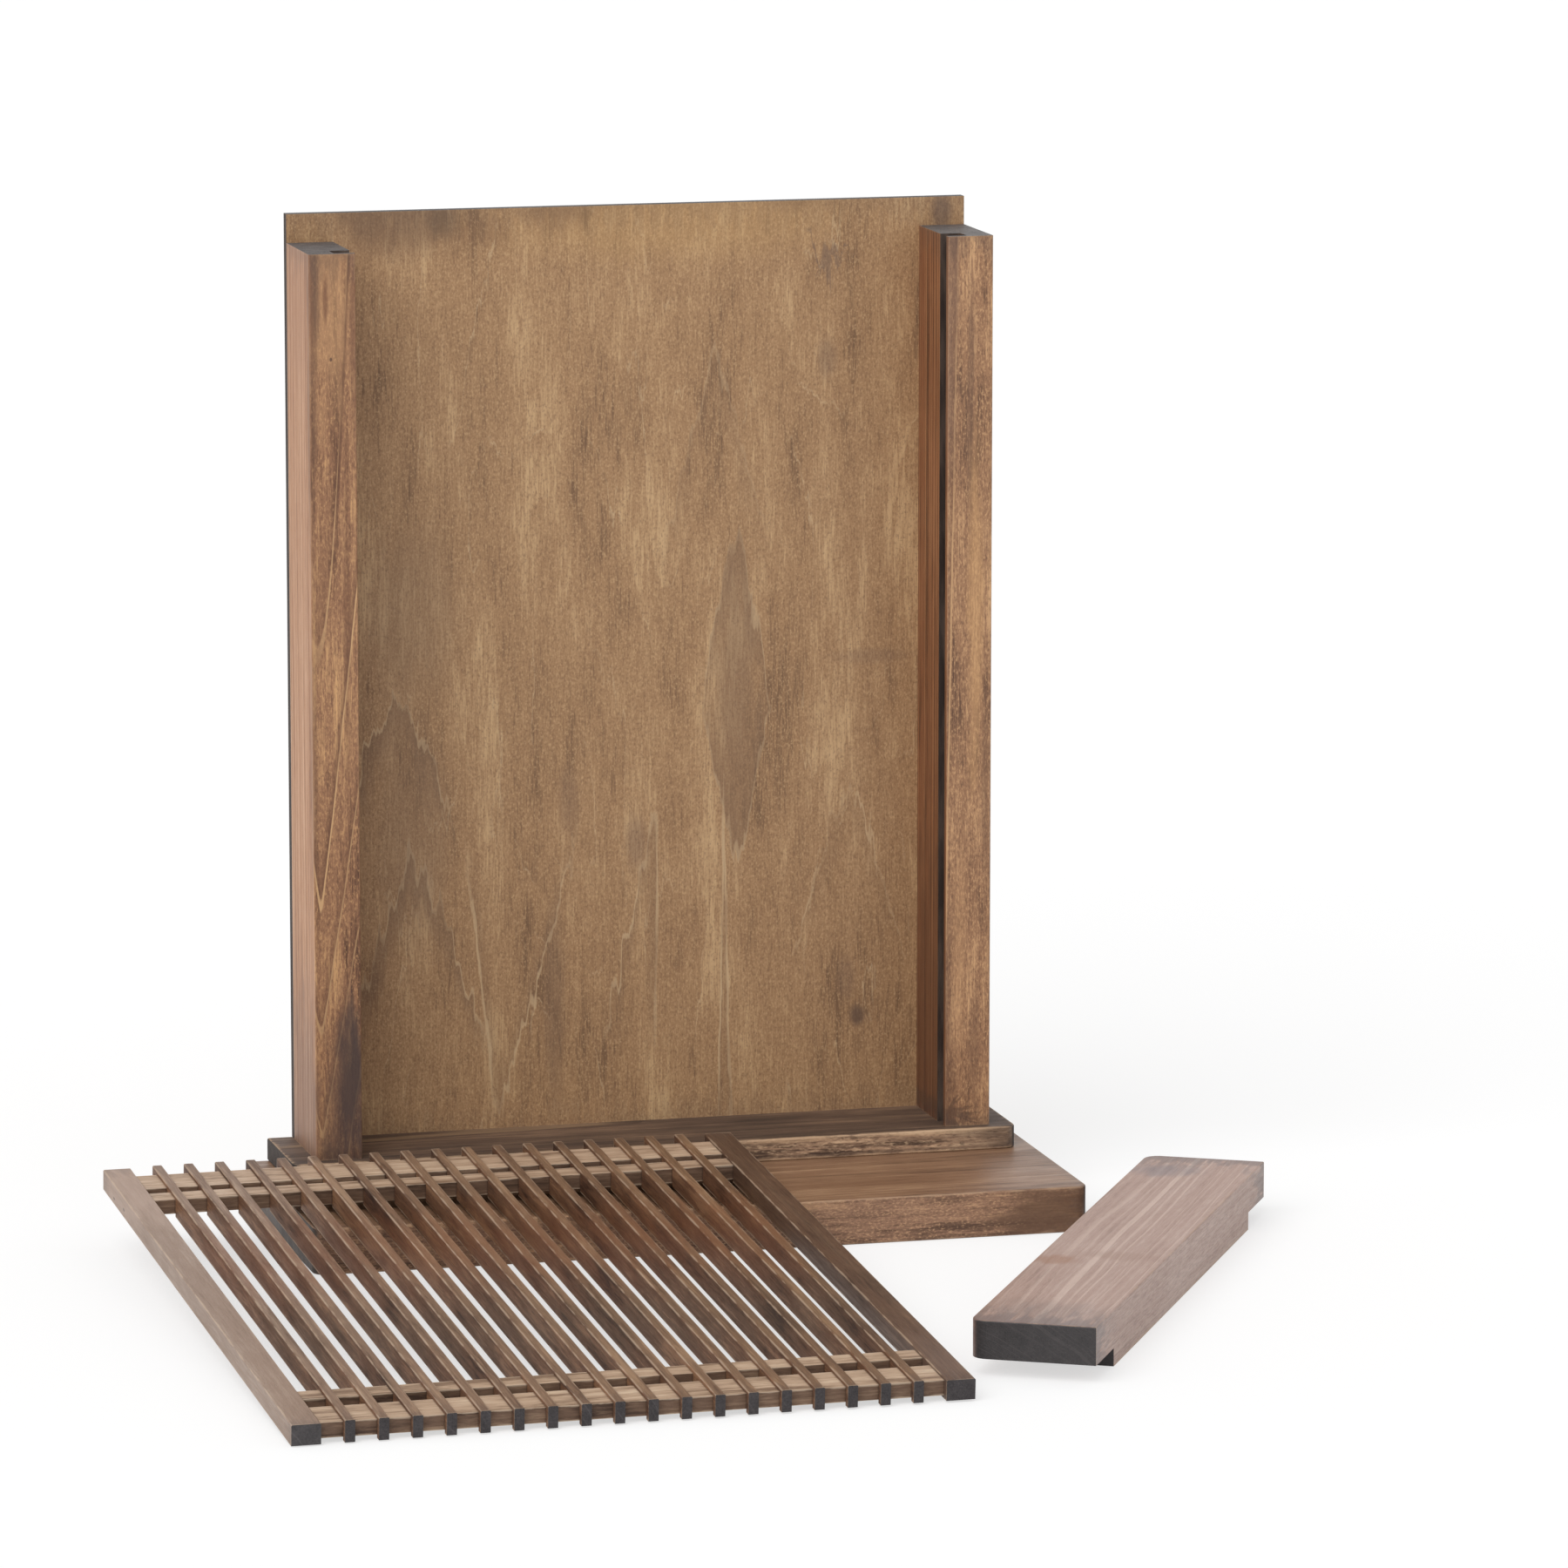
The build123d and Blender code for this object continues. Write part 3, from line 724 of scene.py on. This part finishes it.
leftPost = {
    **commonLook, "seed": 11.0, "deep": (140, 92, 62), "middle": (184, 134, 97), "pale": (208, 162, 126),
    "line": (226, 182, 132), "lineAmount": 0.15, "shadeAmount": 0.6, "pith": (0.0, 4.0, -60.0),
    "ringSpacing": 4.1, "ringTaper": -0.004, "ringWarp": 4.0, "streakAmount": 0.8, "mottleAmount": 0.3,
    "cloudAmount": 0.3, "endDeep": (54, 50, 50), "endPale": (116, 108, 104), "roughness": 0.55,
    "wearAndHighlightAmount": 0.2, "jag": (5.0, 0.5, 0.0), "fleckLength": 1.1,
    "faces": [
        {"way": (0.0, -1.0, 0.0), "deep": (90, 58, 40), "middle": (158, 114, 82), "pale": (214, 166, 116),
         "fleckAmount": 0.6, "poreAmount": 0.5, "shadeAmount": 0.0, "lineAmount": 0.0,
         "streakAmount": 1.2, "strokeAmount": 0.9, "mottleAmount": 0.8, "cloudAmount": 1.0,
         "roughness": 0.5},
        # The inner face, towards the other post, is painted darker and redder as the shade and bounce light
        # between the posts
        {"way": (1.0, 0.0, 0.0), "deep": (88, 54, 34), "middle": (138, 88, 58), "pale": (166, 114, 78),
         "shadeAmount": 0.8, "roughness": 0.42},
    ],
    "flames": [
        flame((17.5, -5.6), 0.031, bend=12.0, width=0.12, depth=1.5, amount=0.5, shade=0.3),
        flame((106.0, 3.3), 0.0, lean=0.054, bend=0.7, width=0.2, reach=62.0, amount=0.0, shade=0.75),
        flame((-61.5, -5.2), 0.115, bend=0.9, width=0.3, amount=0.75, shade=0.65),
        flame((-101.4, -5.5), 0.155, bend=1.0, amount=0.5, shade=0.5),
        flame((-135.0, -5.4), 0.18, amount=0.5, shade=0.4),
        flame((-194.0, -5.4), 0.15, amount=0.5, shade=0.35),
    ],
    "patches": [
        ((138.0, -1.0, -17.0), (60.0, 9.0, 6.0), 0.45, (200, 154, 110)),
        ((134.0, -6.4, -17.0), (22.0, 3.6, 6.0), 0.65, (92, 66, 54)),
        ((112.0, 6.6, -17.0), (50.0, 1.6, 6.0), 0.5, (104, 66, 48)),
        ((-116.0, 4.4, -17.0), (32.0, 5.6, 9.0), 0.9, (58, 49, 48)),
        ((-132.0, 2.0, -17.0), (56.0, 11.0, 9.0), 0.65, (84, 63, 56)),
        ((95.0, -7.0, -17.0), (60.0, 2.4, 6.0), 0.55, (106, 74, 54)),
        ((128.8, -2.3, -17.0), (10.0, 1.2, 6.0), 0.6, (98, 56, 38)),
        ((110.0, -0.6, -17.0), (0.7, 0.5, 3.0), 0.8, (74, 50, 40)),
        ((30.0, 3.8, -17.0), (70.0, 1.6, 6.0), 0.45, (106, 68, 46)),
        ((-20.0, -7.0, -17.0), (60.0, 1.4, 6.0), 0.4, (106, 72, 50)),
        ((-142.0, -7.4, 0.0), (80.0, 2.0, 40.0), 0.6, (124, 92, 74)),
        ((136.0, -7.4, 0.0), (50.0, 2.0, 40.0), 0.4, (160, 112, 80)),
    ],
    # The groove's dark colours are stain and painted shade inside it
    "groove": {"Centre": (0.0, 4.05, -11.5), "Half Size": (200.0, 3.45, 3.8)},
    "grooveStainAndShadeDeep": (54, 42, 36), "grooveStainAndShadePale": (94, 78, 68),
}
woodMaterial("left_post", uprightGrain, leftPost)

# The look's own colours are the inner face's, painted darker and redder than the outer face as the shade and
# bounce light between the posts
rightPost = {
    **commonLook, "seed": 13.0, "deep": (88, 54, 34), "middle": (138, 88, 58), "pale": (166, 114, 78),
    "line": (214, 170, 124), "lineAmount": 0.1, "shadeAmount": 0.9, "pith": (0.0, 4.0, -60.0),
    "ringSpacing": 3.1, "ringTaper": 0.003, "ringWarp": 1.2, "streakAmount": 1.0, "mottleAmount": 0.5,
    "cloudAmount": 0.5, "endDeep": (54, 50, 50), "endPale": (116, 108, 104), "wearAndHighlightAmount": 0.2,
    "jag": (5.0, 0.5, 0.0), "fleckLength": 1.1,
    "faces": [
        {"way": (0.0, -1.0, 0.0), "deep": (92, 62, 44), "middle": (160, 118, 85), "pale": (216, 170, 124),
         "fleckAmount": 0.65, "poreAmount": 0.55, "shadeAmount": 0.0, "lineAmount": 0.0,
         "streakAmount": 0.7, "strokeAmount": 0.9, "mottleAmount": 0.8, "cloudAmount": 1.1,
         "roughness": 0.5},
        {"way": (1.0, 0.0, 0.0), "deep": (124, 84, 58), "middle": (170, 124, 92), "pale": (200, 156, 120),
         "shadeAmount": 0.4, "roughness": 0.55},
    ],
    "flames": [
        flame((-75.0, -7.4), 0.0149, bend=0.05, width=0.36, amount=0.75, shade=0.35),
    ],
    "patches": [
        ((130.0, -7.0, -17.0), (75.0, 4.6, 6.0), 0.5, (118, 88, 72)),
        ((98.0, 0.2, -17.0), (60.0, 1.7, 6.0), 0.5, (108, 78, 60)),
        ((24.0, 2.0, -17.0), (70.0, 3.4, 6.0), 0.4, (212, 164, 112)),
        ((-90.0, -3.0, -17.0), (50.0, 3.0, 6.0), 0.3, (200, 154, 110)),
        # Painted shade: the inner face darker towards the bottom
        ((-142.0, -7.4, 4.0), (130.0, 6.0, 40.0), 0.6, (88, 56, 40)),
        ((-30.0, 5.5, -17.0), (50.0, 1.6, 6.0), 0.4, (104, 72, 52)),
        ((-120.0, 2.0, -17.0), (24.0, 3.0, 6.0), 0.35, (100, 70, 52)),
    ],
    "knots": [
        ((-139.0, -7.4, 8.0), (5.0, 8.0, 4.0), 0.6, (84, 58, 44)),
    ],
    # The groove's dark colours are stain and painted shade inside it
    "groove": {"Centre": (0.0, -4.05, -11.5), "Half Size": (200.0, 3.45, 3.8)},
    "grooveStainAndShadeDeep": (54, 42, 36), "grooveStainAndShadePale": (94, 78, 68),
}
woodMaterial("right_post", uprightGrain, rightPost)

topCap = {
    **commonLook, "seed": 17.0, "deep": (122, 92, 80), "middle": (164, 131, 116), "pale": (188, 157, 142),
    "line": (222, 197, 182), "lineAmount": 0.6, "pith": (0.0, 53.0, -85.0), "ringSpacing": 1.6,
    "ringTaper": 0.006, "ringWarp": 4.0, "lineWidth": 0.32, "shadeAmount": 0.15, "streakAmount": 0.7,
    "strokeAmount": 0.6, "mottleAmount": 0.3, "cloudAmount": 0.6, "fleckLength": 3.0, "soak": 20.0,
    "soakAmount": 0.7, "soaked": (96, 80, 78), "endDeep": (34, 31, 32), "endPale": (64, 59, 59),
    "faces": [
        {"way": capSide, "bothSides": True, "lineAmount": 0.25, "shadeAmount": 0.1, "fleckAmount": 0.45,
         "poreAmount": 0.4, "strokeAmount": 0.9},
    ],
    "patches": [
        ((-35.0, 13.0, 6.0), (8.0, 10.0, 16.0), 0.75, (146, 98, 66)),
        ((-25.0, -5.4, 6.0), (7.0, 18.0, 16.0), 0.4, (142, 104, 80)),
        ((-104.0, 0.0, 6.0), (24.0, 30.0, 9.0), 0.4, (112, 92, 84)),
        ((97.0, 8.0, 6.0), (13.0, 15.0, 9.0), 0.6, (110, 98, 102)),
    ],
}
woodMaterial("top_cap", capGrain, topCap)

# The door goes from a pale left stile to a dark right one, whose darkness is partly darker stain and partly
# painted shade from the body beside it
slatCentre, slatHalfSize = pieceFrame("door_slat_09", doorGrain)
nextCentre, _ = pieceFrame("door_slat_10", doorGrain)
slatPitch = (nextCentre - slatCentre).length / millimetre
halfSlat = float(slatHalfSize[1]) / millimetre

doorLook = {
    **commonLook, "deep": (84, 64, 50), "middle": (130, 103, 84), "pale": (166, 137, 112),
    "wearAndHighlight": (196, 172, 148), "line": (172, 142, 114), "lineAmount": 0.2, "shadeAmount": 0.2,
    "pith": (0.0, 25.0, -20.0), "fleckLength": 2.5, "mottleAmount": 0.8, "roughness": 0.5, "shine": 0.25,
    "wearAndHighlightWidth": 0.5, "wearAndHighlightAmount": 0.6, "endDeep": (48, 45, 46), "endPale": (84, 79, 80),
}
leftStile = {
    **doorLook, "deep": (120, 99, 84), "middle": (146, 121, 104), "pale": (164, 140, 122), "shine": 0.5,
    "streakAmount": 0.5, "mottleAmount": 0.5, "cloudAmount": 0.7, "fleckAmount": 0.2, "poreAmount": 0.2,
    "fleckLength": 1.0,
    "patches": [
        ((115.0, 0.0, 3.0), (60.0, 14.0, 12.0), 0.55, (184, 158, 142)),
        ((115.7, 4.35, -1.4), (1.6, 2.0, 0.6), 0.8, (70, 56, 48)),
        ((101.1, 4.35, -0.8), (1.6, 2.0, 0.6), 0.8, (70, 56, 48)),
    ],
}
# Painted shade from the body, along with darker stain: darker colours, a darker far end and a paler near end
rightStile = {
    **doorLook, "deep": (64, 45, 35), "middle": (95, 71, 56), "pale": (124, 96, 76),
    "patches": [
        ((110.0, 0.0, 0.0), (50.0, 12.0, 9.0), 0.45, (76, 56, 44)),
        ((-118.0, 0.0, 0.0), (44.0, 12.0, 9.0), 0.5, (126, 103, 90)),
    ],
}
railLook = {
    **doorLook, "deep": (128, 103, 83), "middle": (187, 159, 134), "pale": (214, 190, 164),
    "wearAndHighlight": (214, 192, 168), "wearAndHighlightAmount": 0.7, "mottleAmount": 1.5, "fleckAmount": 0.25,
    "poreAmount": 0.25,
    "joints": {"Pitch": slatPitch, "Half Slat": halfSlat, "Width": 0.5}, "jointAmount": 0.55,
    "jointColour": (58, 45, 37),
    "faces": [
        {"way": -doorAlong, "deep": (72, 54, 44), "middle": (112, 88, 72), "pale": (150, 124, 102)},
    ],
}
slatLook = {
    **doorLook,
    "faces": [
        {"way": doorAcross, "bothSides": True, "deep": (58, 36, 26), "middle": (112, 79, 58),
         "pale": (156, 116, 86), "mottleAmount": 1.15, "streakAmount": 0.9, "poreAmount": 0.3,
         "roughness": 0.62},
    ],
    "patches": [
        ((30.0, 0.0, 0.0), (60.0, 4.0, 8.0), 0.4, (130, 80, 52)),
        ((-50.0, 0.0, 0.0), (40.0, 4.0, 8.0), 0.25, (104, 88, 72)),
    ],
}
# The slats' colours on the door's left and on its right, darker on the right partly as stain and partly as
# painted shade from the body
slatStainAndShade = {
    "deep": ((100, 77, 62), (78, 56, 42)), "middle": ((136, 110, 92), (116, 88, 66)),
    "pale": ((168, 140, 117), (150, 118, 90)),
}
doorSeeds = {"slats": 40.0, "rails": 20.0, "leftStile": 34.0, "rightStile": 37.0, "step": 3.0}


def between(first, last, share):
    return tuple((np.array(first) * (1 - share) + np.array(last) * share).tolist())


slatNames = sorted(n for n in nodes if n.startswith("door_slat"))
for number, name in enumerate(slatNames):
    share = number / (len(slatNames) - 1)
    tones = {label: between(*ends, share) for label, ends in slatStainAndShade.items()}
    seed = doorSeeds["slats"] + doorSeeds["step"] * number
    woodMaterial(name, doorGrain, {**slatLook, **tones, "seed": seed})
for number, name in enumerate(sorted(n for n in nodes if n.endswith("_rail"))):
    seed = doorSeeds["rails"] + doorSeeds["step"] * number
    woodMaterial(name, railGrain, {**railLook, "seed": seed})
woodMaterial("door_left_stile", doorGrain, {**leftStile, "seed": doorSeeds["leftStile"]})
woodMaterial("door_right_stile", doorGrain, {**rightStile, "seed": doorSeeds["rightStile"]})
print("wood on", len(nodes), "nodes")


# Floor, light and camera

studio = {
    "floorSize": 60.0, "floorDrop": 0.0001, "floorColour": 0.8, "floorGlow": 0.61, "floorLit": 0.42,
    "worldLight": 0.62, "white": 1.0, "sunStrength": 1.5, "sunAngle": 50.0, "sunFrom": (-0.62, -0.62, 0.85),
}


def grey(level):
    return (level, level, level, 1.0)


def pictureRays(tree, *kinds):
    # 1 for what the camera sees, by itself or by the kinds of ray named, and 0 for other light
    rays = tree.nodes.new("ShaderNodeLightPath").outputs
    seen = rays["Is Camera Ray"]
    for kind in kinds:
        seen = maths(tree, "MAXIMUM", seen, rays[kind])
    return seen


def makeFloor():
    # A pale floor: plain diffuse for the light on the object, near white where the camera looks
    reach = studio["floorSize"] / 2
    grid = np.array([[-1, -1], [1, -1], [1, 1], [-1, 1]]) * reach
    corners = np.column_stack([grid, np.full(len(grid), -studio["floorDrop"])])
    mesh = bpy.data.meshes.new("floor")
    mesh.from_pydata(corners.tolist(), [], [(0, 1, 2, 3)])
    floor = bpy.data.objects.new("floor", mesh)
    bpy.context.scene.collection.objects.link(floor)
    material = bpy.data.materials.new("paleFloor")
    material.use_nodes = True
    tree = material.node_tree
    tree.nodes.clear()
    plain = addNode(tree, "ShaderNodeBsdfDiffuse", {"Color": grey(studio["floorColour"])})
    lit = addNode(tree, "ShaderNodeBsdfDiffuse", {"Color": grey(studio["floorLit"])})
    glow = addNode(tree, "ShaderNodeEmission", {"Strength": studio["floorGlow"]})
    shown = addNode(tree, "ShaderNodeAddShader", {0: lit.outputs[0], 1: glow.outputs[0]})
    seen = pictureRays(tree, "Is Glossy Ray")
    mix = addNode(tree, "ShaderNodeMixShader", {0: seen, 1: plain.outputs[0], 2: shown.outputs[0]})
    addNode(tree, "ShaderNodeOutputMaterial", {0: mix.outputs[0]})
    mesh.materials.append(material)


def makeLight():
    # Even light from all round, shown white to the camera, and one broad soft lamp
    world = bpy.data.worlds.new("studio")
    bpy.context.scene.world = world
    world.use_nodes = True
    tree = world.node_tree
    tree.nodes.clear()
    plugs = {"Color": grey(1.0), "Strength": studio["worldLight"]}
    ambient = addNode(tree, "ShaderNodeBackground", plugs)
    shown = addNode(tree, "ShaderNodeBackground", {**plugs, "Strength": studio["white"]})
    seen = pictureRays(tree, "Is Glossy Ray", "Is Transmission Ray")
    mix = addNode(tree, "ShaderNodeMixShader", {0: seen, 1: ambient.outputs[0], 2: shown.outputs[0]})
    addNode(tree, "ShaderNodeOutputWorld", {0: mix.outputs[0]})
    lamp = bpy.data.lights.new("key", "SUN")
    lamp.energy = studio["sunStrength"]
    lamp.angle = math.radians(studio["sunAngle"])
    key = bpy.data.objects.new("key", lamp)
    key.rotation_mode = "QUATERNION"
    key.rotation_quaternion = Vector(studio["sunFrom"]).to_track_quat("Z", "Y")
    bpy.context.scene.collection.objects.link(key)


# The photograph's viewpoint: place in metres, angles in degrees
viewpoint = {
    "place": (-0.65579, -2.69212, 0.61035), "yaw": -14.705, "pitch": -9.809, "roll": 0.028,
    "focalPixels": 10139, "imagePixels": 1800, "sensor": 36.0, "clipEnd": 100.0,
}


def makeCamera():
    # Ahead, right and over are the view's own axes, then the roll turns right and over about ahead
    yaw, pitch, roll = (math.radians(viewpoint[k]) for k in ("yaw", "pitch", "roll"))
    ahead = Vector((-math.sin(yaw) * math.cos(pitch), math.cos(yaw) * math.cos(pitch), math.sin(pitch)))
    right = Vector((math.cos(yaw), math.sin(yaw), 0))
    over = right.cross(ahead)
    tiltedRight = right * math.cos(roll) + over * math.sin(roll)
    tiltedOver = over * math.cos(roll) - right * math.sin(roll)
    lens = bpy.data.cameras.new("camera")
    lens.sensor_width = viewpoint["sensor"]
    lens.lens = viewpoint["focalPixels"] / viewpoint["imagePixels"] * viewpoint["sensor"]
    lens.clip_end = viewpoint["clipEnd"]
    camera = bpy.data.objects.new("camera", lens)
    turn = Matrix([list(tiltedRight), list(tiltedOver), list(-ahead)]).transposed()
    camera.matrix_world = Matrix.Translation(viewpoint["place"]) @ turn.to_4x4()
    bpy.context.scene.collection.objects.link(camera)
    bpy.context.scene.camera = camera


makeFloor()
makeLight()
makeCamera()
bpy.context.scene.view_settings.view_transform = "Standard"
print("floor, light and camera ready")
